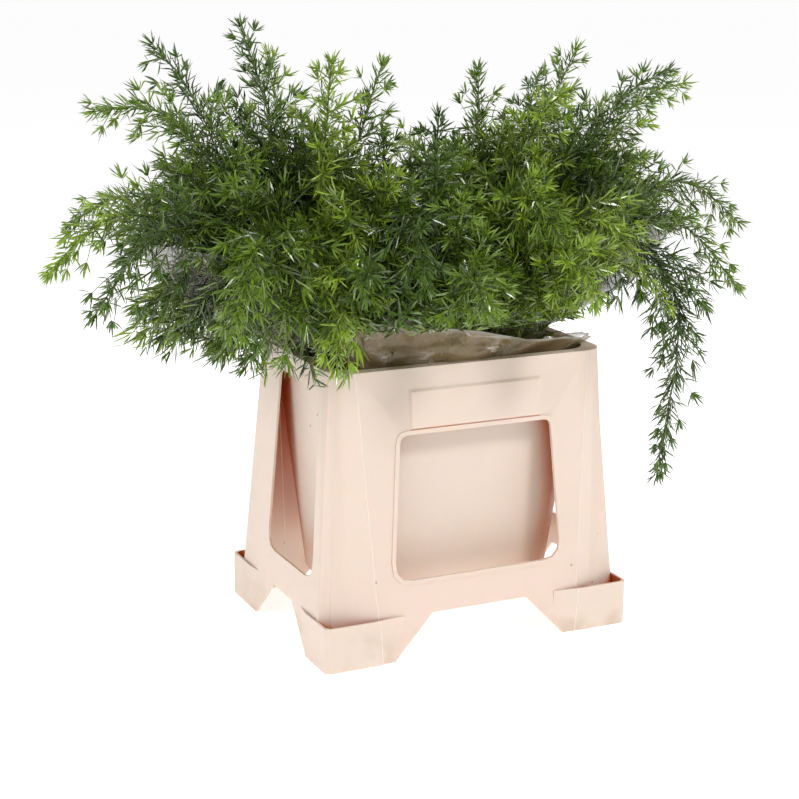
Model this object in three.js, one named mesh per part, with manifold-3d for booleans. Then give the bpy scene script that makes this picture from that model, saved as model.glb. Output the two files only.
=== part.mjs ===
// Cut asparagus fern in clear sleeves, standing in a plastic transport bucket.
// Millimetres, +Z up, +X to the right along the wide front, which faces -Y.
// Everything is laid out about the middle of the bucket's foot. The last lines then move the whole part, so that
// its origin is the bottom centre of its own bounding box.

import * as THREE from "three";
import { mergeVertices } from "three/addons/utils/BufferGeometryUtils.js";
import Module from "manifold-3d";

const wasm = await Module();
wasm.setup();

const GAP = 0.3;
const WALL = 3;

// Bucket: the outer skirt is ruled between its rim outline and its floor outline.
const SKIRT = {
  height: 340,
  rim: { half: [178, 119.5], setback: [27, 28], round: 0.75 },
  floor: { half: [200, 148], setback: [72, 25], round: 0.3 },
};
const CORNER_STEPS = 4;

// The inner bucket tapers less than the skirt, so a wedge of air is left between them.
const TUB = {
  bottom: 60,
  top: { half: [168.3, 108.3], radius: 36 },
  base: { half: [143.6, 83.6], radius: 50 },
};

const FRONT_WINDOW = { low: 94, high: 264, halfLow: 110, halfHigh: 98, middle: 0, radiusLow: 24, radiusHigh: 9 };
const SIDE_WINDOW = { low: 94, high: 316, halfLow: 70, halfHigh: 59, middle: -26, radiusLow: 24, radiusHigh: 9 };
const FRONT_ARCH = { high: 52, halfLow: 112, halfHigh: 62, middle: 0 };
const SIDE_ARCH = { high: 52, halfLow: 80, halfHigh: 30, middle: -10 };

// Corner collars: a square corner outside the chamfered skirt, open at the top.
const COLLAR = { height: 54, half: [200, 150], reach: [100, 94], taper: 5, run: 34, cut: 5 };

const LABEL = { low: 268, high: 317, half: 87, proud: 3, bevel: 4, sunk: 1.5 };
const BEAD = { width: 5, proud: 1.6, sunk: 1.5 };

const WATER = { level: 130, holeFloor: 3 };

// Sleeves: rows of [z, centre x, centre y, half x, half y]. The side rows are mirrored for the left sleeve.
const FILM = 0.8;
const SIDE_SLEEVE = [
  [WATER.level + GAP, 75, 30, 18.5, 18.5],
  [160, 75, 30, 18.5, 18.5],
  [250, 77, 33, 44, 40],
  [340, 82, 37, 76, 64],
  [354, 106, 46, 100, 74],
  [392, 148, 60, 141, 96],
  [466, 174, 70, 162, 116],
];
const FRONT_SLEEVE = [
  [WATER.level + GAP, 0, -48, 23.5, 15],
  [160, 0, -48, 23.5, 15],
  [250, 3, -58, 80, 23],
  [340, 5, -69, 148, 33],
  [363, 12, -72, 168, 33],
];
const FRONT_LIP = { lean: -18, swell: 10 };
const SLEEVE_SIDES = 16;
const TIE = { z: 146, height: 5, thick: 1.6 };

// Each stem runs through the neck, the rim and the mouth of its sleeve. A row gives [z, centre x, centre y,
// reach x, reach y], and a stem's own place on the unit disc scales the reach.
const SIDE_BUNCH = {
  neck: [185, 75, 30, 15.2, 15.2],
  rim: [340, 84, 38, 56, 48],
  mouth: [474, 150, 54, 118, 84],
};
const FRONT_BUNCH = {
  neck: [185, 0, -49, 18.5, 10.6],
  rim: [340, 5, -69, 104, 20],
  mouth: [402, 8, -80, 132, 32],
};

// Tips of the stems, read from the photo and rounded. Each ring of a bunch is listed by its angle, from +X
// through +Y. A second point, where there is one, is a place that the stem hangs through.
const BUNCHES = {
  left: {
    shape: SIDE_BUNCH,
    mirror: -1,
    rings: [
      { reach: 0, tips: [[[-235, 20, 728]]] },
      {
        reach: 0.47,
        tips: [[[-60, 0, 682]], [[-150, 150, 690]], [[-320, 90, 705]], [[-425, -20, 628]], [[-165, -90, 690]]],
      },
      {
        reach: 1,
        tips: [
          [[-40, 50, 600]], [[-50, 210, 560]], [[-150, 300, 500]], [[-280, 290, 470]], [[-400, 180, 470]],
          [[-465, 30, 440]], [[-445, -90, 412]], [[-330, -200, 400]], [[-205, -190, 352]], [[-110, -220, 440]],
        ],
      },
    ],
  },
  right: {
    shape: SIDE_BUNCH,
    mirror: 1,
    rings: [
      { reach: 0, tips: [[[200, 0, 697]]] },
      {
        reach: 0.47,
        tips: [[[377, 10, 644]], [[250, 180, 650]], [[93, 60, 672]], [[130, -110, 650]], [[312, -50, 667]]],
      },
      {
        reach: 1,
        tips: [
          [[471, 10, 449]], [[430, 170, 470]], [[320, 280, 460]], [[190, 310, 500]], [[70, 230, 560]],
          [[15, 10, 620]], [[70, -210, 470]], [[190, -240, 400]], [[266, -105, 150], [268, -125, 400]],
          [[395, -90, 385]],
        ],
      },
    ],
  },
  front: {
    shape: FRONT_BUNCH,
    mirror: 1,
    rings: [
      { reach: 0.42, tips: [[[60, -140, 560]], [[-30, -70, 590]], [[-50, -180, 540]]] },
      {
        reach: 1,
        tips: [
          [[180, -200, 430]], [[110, -60, 560]], [[20, -30, 590]], [[-90, -80, 570]], [[-180, -200, 450]],
          [[-60, -260, 420]], [[75, -270, 430]],
        ],
      },
    ],
  },
};

const STEM = {
  seed: 1208,
  footRadius: 1.6,
  tipRadius: 0.9,
  arch: 0.25,
  whorls: 6,
  whorlLength: 4,
  twist: 0.5,
  shoots: [
    { at: 1, length: 95, lean: 0.9 },
    { at: 2, length: 105, lean: 0.85 },
    { at: 3, length: 95, lean: 0.8 },
    { at: 4, length: 80, lean: 0.6 },
  ],
  innerShoots: 3,
  shootWhorls: 2,
  shootRadius: 0.8,
  needle: [17, 23],
  tipSpike: 12,
  tries: 10,
  clearance: 0.7,
};
const FOOT_Z = TUB.bottom + WALL + GAP + WATER.holeFloor + GAP;
const STRAIGHT_TO = WATER.level + 5;
const LOWER_STEPS = [0.15, 0.25, 0.36, 0.46];

const COLOURS = {
  plastic: 0xf2dcc6,
  water: 0xb9c8cc,
  film: 0xbfb4ac,
  band: 0xe9e6dc,
  dark: 0x2f5a22,
  mid: 0x44752b,
  light: 0x669a38,
};

const group = new THREE.Group();

function material(colour, roughness, extra = {}) {
  return new THREE.MeshStandardMaterial({ color: colour, roughness, metalness: 0, ...extra });
}

// Closed solids from rings of points

function geometryFrom(positions, triangles) {
  const geometry = new THREE.BufferGeometry();
  geometry.setAttribute("position", new THREE.Float32BufferAttribute(positions, 3));
  geometry.setIndex(triangles);
  return geometry;
}

function signedVolume(points, triangles) {
  let sum = 0;
  for (let i = 0; i < triangles.length; i += 3) {
    const [a, b, c] = [points[triangles[i]], points[triangles[i + 1]], points[triangles[i + 2]]];
    sum += a.dot(b.clone().cross(c)) / 6;
  }
  return sum;
}

// Rings with the same number of points are joined side by side and closed by a cap at each end. The outline is
// the ring laid flat, from which the caps are cut into triangles.
function ringsToGeometry(rings, outline) {
  if (THREE.ShapeUtils.isClockWise(outline)) {
    return ringsToGeometry(rings.map((ring) => [...ring].reverse()), [...outline].reverse());
  }
  const count = rings[0].length;
  const points = rings.flat();
  let triangles = [];
  for (let r = 0; r + 1 < rings.length; r += 1) {
    for (let k = 0; k < count; k += 1) {
      const [a, b] = [r * count + k, r * count + ((k + 1) % count)];
      triangles.push(a, b, b + count, a, b + count, a + count);
    }
  }
  const top = (rings.length - 1) * count;
  for (const [i, j, k] of THREE.ShapeUtils.triangulateShape(outline, [])) {
    triangles.push(k, j, i, top + i, top + j, top + k);
  }
  if (signedVolume(points, triangles) < 0) {
    triangles = triangles.reverse();
  }
  return geometryFrom(points.flatMap((p) => [p.x, p.y, p.z]), triangles);
}

function toManifold(geometry) {
  const bare = geometry.clone();
  bare.deleteAttribute("normal");
  bare.deleteAttribute("uv");
  const merged = mergeVertices(bare, 1e-4);
  const vertProperties = new Float32Array(merged.attributes.position.array);
  const triVerts = new Uint32Array(merged.index.array);
  return new wasm.Manifold(new wasm.Mesh({ numProp: 3, vertProperties, triVerts }));
}

function toGeometry(solid) {
  const mesh = solid.getMesh();
  return geometryFrom(Array.from(mesh.vertProperties), Array.from(mesh.triVerts));
}

// A flat outline pushed along one axis. place turns outline u, v and a depth into a point.
function prism(outline, place, from, to) {
  const rings = [from, to].map((depth) => outline.map((p) => place(p.x, p.y, depth)));
  return toManifold(ringsToGeometry(rings, outline));
}

const alongX = (u, v, depth) => new THREE.Vector3(depth, u, v);
const alongY = (u, v, depth) => new THREE.Vector3(u, depth, v);
const alongZ = (u, v, depth) => new THREE.Vector3(u, v, depth);

function mix(a, b, t) {
  return a + (b - a) * t;
}

// Skirt outline: a rectangle whose corners are curves between their two set-backs. The curve's middle point
// lies between the chamfer's middle and the square corner, by the factor round.
function skirtOutline(level, inset) {
  const [hx, hy] = level.half;
  const [sx, sy] = level.setback;
  const slant = Math.hypot(sx, sy);
  const grow = inset * (sx + sy - slant);
  const half = [hx - inset, hy - inset];
  const setback = [sx - grow / sy, sy - grow / sx];
  const quarter = [];
  for (let k = 0; k <= CORNER_STEPS; k += 1) {
    const t = k / CORNER_STEPS;
    const start = [half[0], half[1] - setback[1]];
    const end = [half[0] - setback[0], half[1]];
    const middle = [0, 1].map((i) => mix((start[i] + end[i]) / 2, half[i], level.round));
    const at = (i) => (1 - t) ** 2 * start[i] + 2 * t * (1 - t) * middle[i] + t * t * end[i];
    quarter.push([at(0), at(1)]);
  }
  return aroundCorners(quarter);
}

// One corner's points, repeated in all four quarters in one turning sense
function aroundCorners(quarter) {
  const outline = [];
  for (const [sx, sy] of [[1, 1], [-1, 1], [-1, -1], [1, -1]]) {
    const points = quarter.map(([x, y]) => new THREE.Vector2(sx * x, sy * y));
    outline.push(...(sx * sy > 0 ? points : points.reverse()));
  }
  return outline;
}

function roundedOutline(level, inset) {
  const radius = level.radius - inset;
  const quarter = [];
  for (let k = 0; k <= CORNER_STEPS; k += 1) {
    const angle = (k / CORNER_STEPS) * (Math.PI / 2);
    const x = level.half[0] - level.radius + radius * Math.cos(angle);
    const y = level.half[1] - level.radius + radius * Math.sin(angle);
    quarter.push([x, y]);
  }
  return aroundCorners(quarter);
}

function ruled(lowOutline, lowZ, highOutline, highZ) {
  const rings = [
    lowOutline.map((p) => alongZ(p.x, p.y, lowZ)),
    highOutline.map((p) => alongZ(p.x, p.y, highZ)),
  ];
  return toManifold(ringsToGeometry(rings, lowOutline));
}

// The skirt between two heights, carried on past them along the same straight lines
function skirtSolid(lowZ, highZ, inset) {
  const rim = skirtOutline(SKIRT.rim, inset);
  const floor = skirtOutline(SKIRT.floor, inset);
  const at = (z) => floor.map((p, i) => p.clone().lerp(rim[i], z / SKIRT.height));
  return ruled(at(lowZ), lowZ, at(highZ), highZ);
}

function tubSolid(lowZ, highZ, inset) {
  const top = roundedOutline(TUB.top, inset);
  const base = roundedOutline(TUB.base, inset);
  const rise = SKIRT.height - TUB.bottom;
  const at = (z) => base.map((p, i) => p.clone().lerp(top[i], (z - TUB.bottom) / rise));
  return ruled(at(lowZ), lowZ, at(highZ), highZ);
}

// Trapezoid with rounded corners, grown by a margin for the bead around a window
function windowOutline(w, margin) {
  const corners = [
    { p: [w.middle - w.halfLow - margin, w.low - margin], r: w.radiusLow + margin },
    { p: [w.middle + w.halfLow + margin, w.low - margin], r: w.radiusLow + margin },
    { p: [w.middle + w.halfHigh + margin, w.high + margin], r: w.radiusHigh + margin },
    { p: [w.middle - w.halfHigh - margin, w.high + margin], r: w.radiusHigh + margin },
  ];
  const outline = [];
  corners.forEach(({ p, r }, i) => {
    const corner = new THREE.Vector2(...p);
    const before = new THREE.Vector2(...corners[(i + 3) % 4].p).sub(corner).setLength(r).add(corner);
    const after = new THREE.Vector2(...corners[(i + 1) % 4].p).sub(corner).setLength(r).add(corner);
    outline.push(...new THREE.QuadraticBezierCurve(before, corner, after).getPoints(3));
  });
  return outline;
}

function archOutline(arch) {
  const { middle, halfLow, halfHigh, high } = arch;
  const below = -10;
  const spread = halfLow - (halfHigh - halfLow) * (-below / high);
  return [
    new THREE.Vector2(middle - spread, below),
    new THREE.Vector2(middle + spread, below),
    new THREE.Vector2(middle + halfHigh, high),
    new THREE.Vector2(middle - halfHigh, high),
  ];
}

function skirtFaceY(z) {
  return mix(SKIRT.floor.half[1], SKIRT.rim.half[1], z / SKIRT.height);
}

// A shape that lies on the front face and follows its slope. Offsets are measured out from the face.
function onFront(outline, inner, outer, shrink) {
  const middle = outline.reduce((sum, p) => sum.add(p), new THREE.Vector2()).divideScalar(outline.length);
  const ring = (offset, size) => outline.map((p) => {
    const q = p.clone().sub(middle).multiply(size).add(middle);
    return new THREE.Vector3(q.x, -(skirtFaceY(q.y) + offset), q.y);
  });
  return toManifold(ringsToGeometry([ring(inner, new THREE.Vector2(1, 1)), ring(outer, shrink)], outline));
}

function labelPanel() {
  const { low, high, half, bevel } = LABEL;
  const outline = [[-half, low], [half, low], [half, high], [-half, high]].map((p) => new THREE.Vector2(...p));
  const shrink = new THREE.Vector2(1 - bevel / half, 1 - (2 * bevel) / (high - low));
  return onFront(outline, -LABEL.sunk, LABEL.proud, shrink);
}

function windowBead() {
  const same = new THREE.Vector2(1, 1);
  return onFront(windowOutline(FRONT_WINDOW, BEAD.width), -BEAD.sunk, BEAD.proud, same);
}

function collarOutline(inset) {
  const [hx, hy] = COLLAR.half.map((h) => h - inset);
  const { reach, taper, run, cut } = COLLAR;
  const [endX, endY] = [COLLAR.half[0] - reach[0] + inset, COLLAR.half[1] - reach[1] + inset];
  return [
    [hx - taper, endY],
    [hx, endY + run],
    [hx, hy - cut],
    [hx - cut, hy],
    [endX + run, hy],
    [endX, hy - taper],
    [endX, endY],
  ];
}

function corners(inset, low, high) {
  let all = null;
  for (const [sx, sy] of [[1, 1], [-1, 1], [-1, -1], [1, -1]]) {
    const outline = collarOutline(inset).map(([x, y]) => new THREE.Vector2(sx * x, sy * y));
    const block = prism(outline, alongZ, low, high);
    all = all ? all.add(block) : block;
  }
  return all;
}

function containerGeometry() {
  const { height } = SKIRT;
  const past = 20;
  let shell = skirtSolid(0, height, 0).add(windowBead()).add(labelPanel());
  const collars = corners(0, 0, COLLAR.height).subtract(skirtSolid(-past, height, 1));
  const pockets = corners(WALL, WALL, COLLAR.height + past).subtract(skirtSolid(-past, height, 1));
  shell = shell.add(collars.subtract(pockets));
  shell = shell.subtract(skirtSolid(-past, height - WALL, WALL));
  const far = 400;
  shell = shell.subtract(prism(windowOutline(FRONT_WINDOW, 0), alongY, -far, far));
  shell = shell.subtract(prism(windowOutline(SIDE_WINDOW, 0), alongX, -far, far));
  shell = shell.subtract(prism(archOutline(FRONT_ARCH), alongY, -far, far));
  shell = shell.subtract(prism(archOutline(SIDE_ARCH), alongX, -far, far));
  const tub = tubSolid(TUB.bottom, height, 0);
  const inside = tubSolid(TUB.bottom + WALL, height + 1, WALL);
  return toGeometry(shell.add(tub).subtract(inside));
}

// Sleeves and the bands around their necks

function mirrored(rows, side) {
  return rows.map(([z, cx, cy, hx, hy]) => [z, side * cx, cy, hx, hy]);
}

function ellipseRing([z, cx, cy, hx, hy], inset, raise) {
  const ring = [];
  for (let k = 0; k < SLEEVE_SIDES; k += 1) {
    const angle = (k / SLEEVE_SIDES) * 2 * Math.PI;
    const x = cx + (hx - inset) * Math.cos(angle);
    const y = cy + (hy - inset) * Math.sin(angle);
    ring.push(new THREE.Vector3(x, y, z + raise(angle)));
  }
  return ring;
}

// A film cone: outer rings going up and inner rings coming down, closed on themselves. The way down splits its
// quads along the other diagonal, so that both faces of the film have the same triangles.
function tubeWall(outer, inner) {
  const rings = [...outer, ...[...inner].reverse()];
  const points = rings.flat();
  let triangles = [];
  rings.forEach((ring, r) => {
    const next = ((r + 1) % rings.length) * SLEEVE_SIDES;
    const here = r * SLEEVE_SIDES;
    for (let k = 0; k < SLEEVE_SIDES; k += 1) {
      const l = (k + 1) % SLEEVE_SIDES;
      if (r < outer.length) {
        triangles.push(here + k, here + l, next + l, here + k, next + l, next + k);
      } else {
        triangles.push(here + k, here + l, next + k, here + l, next + l, next + k);
      }
    }
  });
  if (signedVolume(points, triangles) < 0) {
    triangles = triangles.reverse();
  }
  return geometryFrom(points.flatMap((p) => [p.x, p.y, p.z]), triangles);
}

const flatLip = () => 0;
const frontLip = (angle) => FRONT_LIP.lean * Math.cos(angle) + FRONT_LIP.swell * Math.sin(angle) ** 2;

function sleeveGeometry(rows, lip) {
  const rings = (inset) => rows.map((row, i) => ellipseRing(row, inset, i === rows.length - 1 ? lip : flatLip));
  return tubeWall(rings(0), rings(FILM));
}

function tieGeometry(rows) {
  const [, cx, cy, hx, hy] = rows[0];
  const levels = [TIE.z - TIE.height / 2, TIE.z + TIE.height / 2];
  const rings = (inset) => levels.map((z) => ellipseRing([z, cx, cy, hx, hy], inset, flatLip));
  return tubeWall(rings(-GAP - TIE.thick), rings(-GAP));
}

// Stems

function randomFrom(seed) {
  let state = seed >>> 0;
  return () => {
    state = (state + 0x6d2b79f5) >>> 0;
    let t = state;
    t = Math.imul(t ^ (t >>> 15), t | 1);
    t ^= t + Math.imul(t ^ (t >>> 7), t | 61);
    return ((t ^ (t >>> 14)) >>> 0) / 4294967296;
  };
}

function placeInBunch([z, cx, cy, rx, ry], mirror, q) {
  return new THREE.Vector3(mirror * cx + rx * q[0], cy + ry * q[1], z);
}

function stemCurve(bunch, reach, angle, tipAndVia) {
  const { shape, mirror } = bunch;
  const q = [reach * Math.cos(angle), reach * Math.sin(angle)];
  const neck = placeInBunch(shape.neck, mirror, q);
  const rim = placeInBunch(shape.rim, mirror, q);
  const mouth = placeInBunch(shape.mouth, mirror, q);
  const tip = new THREE.Vector3(...tipAndVia[0]);
  const foot = neck.clone().setZ(FOOT_Z);
  const surface = neck.clone().setZ(STRAIGHT_TO);
  let via = mouth.clone().lerp(tip, 0.55);
  via.z += STEM.arch * Math.hypot(tip.x - mouth.x, tip.y - mouth.y);
  if (tipAndVia.length > 1) {
    via = new THREE.Vector3(...tipAndVia[1]);
  }
  const points = [foot, surface, neck, rim, mouth, via, tip];
  return new THREE.CatmullRomCurve3(points, false, "catmullrom", 0.5);
}

function listStems() {
  const stems = [];
  for (const [name, bunch] of Object.entries(BUNCHES)) {
    let number = 0;
    for (const ring of bunch.rings) {
      const shoots = ring.reach === 1 ? STEM.shoots : STEM.shoots.slice(0, STEM.innerShoots);
      ring.tips.forEach((tip, i) => {
        number += 1;
        const angle = (i / ring.tips.length) * 2 * Math.PI;
        const curve = stemCurve(bunch, ring.reach, angle, tip);
        const digits = String(number).padStart(2, "0");
        stems.push({ name: `leafy_stem_${name}_${digits}`, curve, shoots, stations: mainStations(curve) });
      });
    }
  }
  return stems;
}

// Room: everything already placed is kept as thin capsules in a grid of cells, so that a new needle or shoot can
// be tested against its neighbours before it is grown.
class Room {
  constructor(cell) {
    this.cell = cell;
    this.cells = new Map();
  }

  cellsOf(a, b, pad) {
    const keys = [];
    const low = [0, 1, 2].map((i) => Math.floor((Math.min(a.getComponent(i), b.getComponent(i)) - pad) / this.cell));
    const high = [0, 1, 2].map((i) => Math.floor((Math.max(a.getComponent(i), b.getComponent(i)) + pad) / this.cell));
    for (let x = low[0]; x <= high[0]; x += 1) {
      for (let y = low[1]; y <= high[1]; y += 1) {
        for (let z = low[2]; z <= high[2]; z += 1) {
          keys.push(`${x},${y},${z}`);
        }
      }
    }
    return keys;
  }

  add(a, b, radius, owner) {
    const capsule = { a, b, radius, owner };
    for (const key of this.cellsOf(a, b, radius)) {
      if (!this.cells.has(key)) {
        this.cells.set(key, []);
      }
      this.cells.get(key).push(capsule);
    }
  }

  isClear(a, b, radius, ignore) {
    const seen = new Set();
    for (const key of this.cellsOf(a, b, radius + STEM.clearance)) {
      for (const other of this.cells.get(key) ?? []) {
        if (seen.has(other) || ignore === other.owner) {
          continue;
        }
        seen.add(other);
        if (segmentDistance(a, b, other.a, other.b) < radius + other.radius + STEM.clearance) {
          return false;
        }
      }
    }
    return true;
  }
}

function segmentDistance(p, q, r, s) {
  const d1 = q.clone().sub(p);
  const d2 = s.clone().sub(r);
  const w = p.clone().sub(r);
  const [a, e, f] = [d1.dot(d1), d2.dot(d2), d2.dot(w)];
  const [b, c] = [d1.dot(d2), d1.dot(w)];
  const clamp = THREE.MathUtils.clamp;
  const denominator = a * e - b * b;
  let t1 = denominator > 1e-9 ? clamp((b * f - c * e) / denominator, 0, 1) : 0;
  let t2 = (b * t1 + f) / e;
  if (t2 < 0 || t2 > 1) {
    t2 = clamp(t2, 0, 1);
    t1 = clamp((b * t2 - c) / a, 0, 1);
  }
  return w.addScaledVector(d1, t1).addScaledVector(d2, -t2).length();
}

// How far a point may come to the films: inside or outside, but not within a few millimetres of the wall.
const NEEDLE_ROOM = { root: 1.3, tip: 0.6 };
const FILM_ROOM = 6;
const BUCKET_ROOM = 4;

function rowAt(rows, z) {
  const i = THREE.MathUtils.clamp(rows.findIndex((row) => row[0] >= z), 1, rows.length - 1);
  const t = (z - rows[i - 1][0]) / (rows[i][0] - rows[i - 1][0]);
  return rows[i].map((value, k) => mix(rows[i - 1][k], value, t));
}

function clearOfFilm(point, rows, lip) {
  const top = rows[rows.length - 1];
  const angle = Math.atan2((point.y - top[2]) / top[4], (point.x - top[1]) / top[3]);
  if (point.z < rows[0][0] - FILM_ROOM || point.z > top[0] + lip(angle) + FILM_ROOM) {
    return true;
  }
  const [, cx, cy, hx, hy] = rowAt(rows, Math.min(point.z, top[0]));
  const away = Math.abs(Math.hypot((point.x - cx) / hx, (point.y - cy) / hy) - 1) * Math.min(hx, hy);
  return away > FILM_ROOM;
}

function clearOfBucket(point) {
  if (point.z > SKIRT.height + BUCKET_ROOM) {
    return true;
  }
  const t = point.z / SKIRT.height;
  const hx = mix(COLLAR.half[0], SKIRT.rim.half[0], t) + BUCKET_ROOM;
  const hy = mix(COLLAR.half[1], SKIRT.rim.half[1], t) + BUCKET_ROOM;
  return Math.abs(point.x) > hx || Math.abs(point.y) > hy;
}

const SLEEVES = {
  sleeve_left: { rows: mirrored(SIDE_SLEEVE, -1), lip: flatLip },
  sleeve_right: { rows: SIDE_SLEEVE, lip: flatLip },
  sleeve_front: { rows: FRONT_SLEEVE, lip: frontLip },
};

function clearOfHolders(a, b) {
  const steps = Math.max(2, Math.ceil(a.distanceTo(b) / 3));
  for (let i = 0; i <= steps; i += 1) {
    const point = a.clone().lerp(b, i / steps);
    if (!clearOfBucket(point)) {
      return false;
    }
    if (!Object.values(SLEEVES).every(({ rows, lip }) => clearOfFilm(point, rows, lip))) {
      return false;
    }
  }
  return true;
}

// A three-sided stem mesh. Shoots and needles are raised from its facets, so one closed skin covers it all.
class StemMesh {
  constructor() {
    this.points = [];
    this.triangles = [];
  }

  point(p) {
    this.points.push(p);
    return this.points.length - 1;
  }

  // Three points around a centre, square to the tangent, the first one towards side
  ring(centre, tangent, side, radius) {
    const u = squareTo(tangent, side).normalize();
    const v = tangent.clone().cross(u);
    return [0, 1, 2].map((k) => {
      const angle = (k / 3) * 2 * Math.PI;
      const p = centre.clone();
      p.addScaledVector(u, radius * Math.cos(angle)).addScaledVector(v, radius * Math.sin(angle));
      return this.point(p);
    });
  }

  wall(low, high) {
    const facets = [];
    for (let k = 0; k < 3; k += 1) {
      const l = (k + 1) % 3;
      facets.push([low[k], low[l], high[l]], [low[k], high[l], high[k]]);
    }
    return facets;
  }

  keep(facets) {
    this.triangles.push(...facets);
  }

  spike([a, b, c], tip) {
    const apex = this.point(tip);
    this.keep([[a, b, apex], [b, c, apex], [c, a, apex]]);
  }

  facetFrame(facet) {
    const [a, b, c] = facet.map((i) => this.points[i]);
    const centre = a.clone().add(b).add(c).divideScalar(3);
    const normal = b.clone().sub(a).cross(c.clone().sub(a)).normalize();
    return { centre, normal };
  }

  geometry() {
    return geometryFrom(this.points.flatMap((p) => [p.x, p.y, p.z]), this.triangles.flat());
  }
}

function turned(vector, axis, angle) {
  return vector.clone().applyAxisAngle(axis, angle);
}

function squareTo(tangent, vector) {
  return vector.clone().addScaledVector(tangent, -vector.dot(tangent));
}

// Walks a tube along its stations. A station marked whorl has a short stretch before it, whose facets are
// returned for needles and shoots to grow from.
function growTube(mesh, start, side, stations, tube) {
  let ring = start;
  let towards = side;
  const whorls = [];
  for (const station of stations) {
    towards = turned(squareTo(station.tangent, towards).normalize(), station.tangent, station.turn);
    const next = mesh.ring(station.centre, station.tangent, towards, station.radius);
    const facets = mesh.wall(ring, next);
    if (station.whorl) {
      const sides = facets.map((facet, i) => ({ facet, upper: i % 2 === 1 }));
      whorls.push({ sides, tangent: station.tangent, tube });
    } else {
      mesh.keep(facets);
    }
    ring = next;
  }
  return { ring, whorls };
}

function stationsAlong(curve, fractions, radiusAt) {
  const length = curve.getLength();
  const stations = [];
  for (const { at, whorl } of fractions) {
    const places = whorl ? [at - STEM.whorlLength / length, at] : [at];
    places.forEach((t, i) => {
      stations.push({
        centre: curve.getPointAt(t),
        tangent: curve.getTangentAt(t),
        radius: radiusAt(t),
        whorl: whorl && i === 1,
        turn: whorl && i === 0 ? STEM.twist : 0,
      });
    });
  }
  return stations;
}

// The two facets of one side lean apart, forward and sideways, so that what grows from them never crosses.
function leanFrom(mesh, { facet, upper }, tangent, forward, random) {
  const { centre, normal } = mesh.facetFrame(facet);
  const across = tangent.clone().cross(normal);
  const sideways = (upper ? -1 : 1) * mix(0.05, 0.6, random());
  const direction = normal.clone().addScaledVector(tangent, forward).addScaledVector(across, sideways);
  return { centre, direction: direction.normalize() };
}

function growNeedles(mesh, whorl, owner, room, random) {
  for (const side of whorl.sides) {
    const lean = side.upper ? 0.9 : 0;
    let grown = false;
    for (let attempt = 0; attempt < STEM.tries && !grown; attempt += 1) {
      const forward = lean + 0.3 * (random() - 0.3);
      const { centre, direction } = leanFrom(mesh, side, whorl.tangent, forward, random);
      const length = mix(STEM.needle[0], STEM.needle[1], random());
      const tip = centre.clone().addScaledVector(direction, length);
      const root = centre.clone().addScaledVector(direction, 2.2);
      const knee = root.clone().lerp(tip, 0.35);
      const pieces = [[root, knee, NEEDLE_ROOM.root], [knee, tip, NEEDLE_ROOM.tip]];
      grown = pieces.every(([a, b, radius]) => room.isClear(a, b, radius, whorl.tube) && clearOfHolders(a, b));
      if (grown) {
        pieces.forEach(([a, b, radius]) => room.add(a, b, radius, `${owner}/needles`));
        mesh.spike(side.facet, tip);
      }
    }
    if (!grown) {
      mesh.keep([side.facet]);
    }
  }
}

function shootCurve(centre, direction, length, droop) {
  const middle = centre.clone().addScaledVector(direction, length * 0.5);
  const end = centre.clone().addScaledVector(direction, length);
  end.z -= droop * length;
  return new THREE.QuadraticBezierCurve3(centre, middle, end);
}

function tryShoot(mesh, side, whorl, shoot, ownAxis, room, random) {
  const skip = 2;
  for (let attempt = 0; attempt < STEM.tries; attempt += 1) {
    const forward = shoot.lean + 0.5 * (random() - 0.5);
    const { centre, direction } = leanFrom(mesh, side, whorl.tangent, forward, random);
    const length = shoot.length * mix(0.85, 1.15, random());
    const curve = shootCurve(centre, direction, length, mix(-0.1, 0.25, random()));
    const line = curve.getSpacedPoints(8);
    const near = curve.getPointAt(skip / length);
    const far = line.at(-1).clone().addScaledVector(curve.getTangentAt(1), STEM.needle[0]);
    const pieces = [near, ...line.slice(1), far];
    const free = pieces.slice(1).every((p, i) => {
      const from = pieces[i];
      return room.isClear(from, p, STEM.shootRadius + NEEDLE_ROOM.tip, whorl.tube) && clearOfHolders(from, p);
    });
    const clearOfOwn = pieces.slice(2).every((p) => ownAxis.every((s) => s.distanceTo(p) > 6));
    if (free && clearOfOwn) {
      return { curve, pieces };
    }
  }
  return null;
}

function evenFractions(from, to, count) {
  return Array.from({ length: count }, (_, i) => ({ at: mix(from, to, (i + 1) / count), whorl: true }));
}

// The direction in which a ring along the tangent lines up best with all three corners of a facet
function sideOf(mesh, facet, tangent) {
  const { centre } = mesh.facetFrame(facet);
  const side = new THREE.Vector3();
  facet.forEach((corner, k) => {
    const arm = squareTo(tangent, mesh.points[corner].clone().sub(centre));
    side.add(turned(arm, tangent, (-k / 3) * 2 * Math.PI));
  });
  return side;
}

function growShoot(mesh, facet, { curve, pieces }, tube, room) {
  const fractions = [{ at: 0.1, whorl: false }, ...evenFractions(0.16, 0.97, STEM.shootWhorls)];
  const stations = stationsAlong(curve, fractions, () => STEM.shootRadius);
  const grown = growTube(mesh, facet, sideOf(mesh, facet, stations[0].tangent), stations, tube);
  for (let i = 1; i < pieces.length; i += 1) {
    room.add(pieces[i - 1], pieces[i], STEM.shootRadius, tube);
  }
  mesh.spike(grown.ring, pieces.at(-1));
  return grown.whorls;
}

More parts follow.
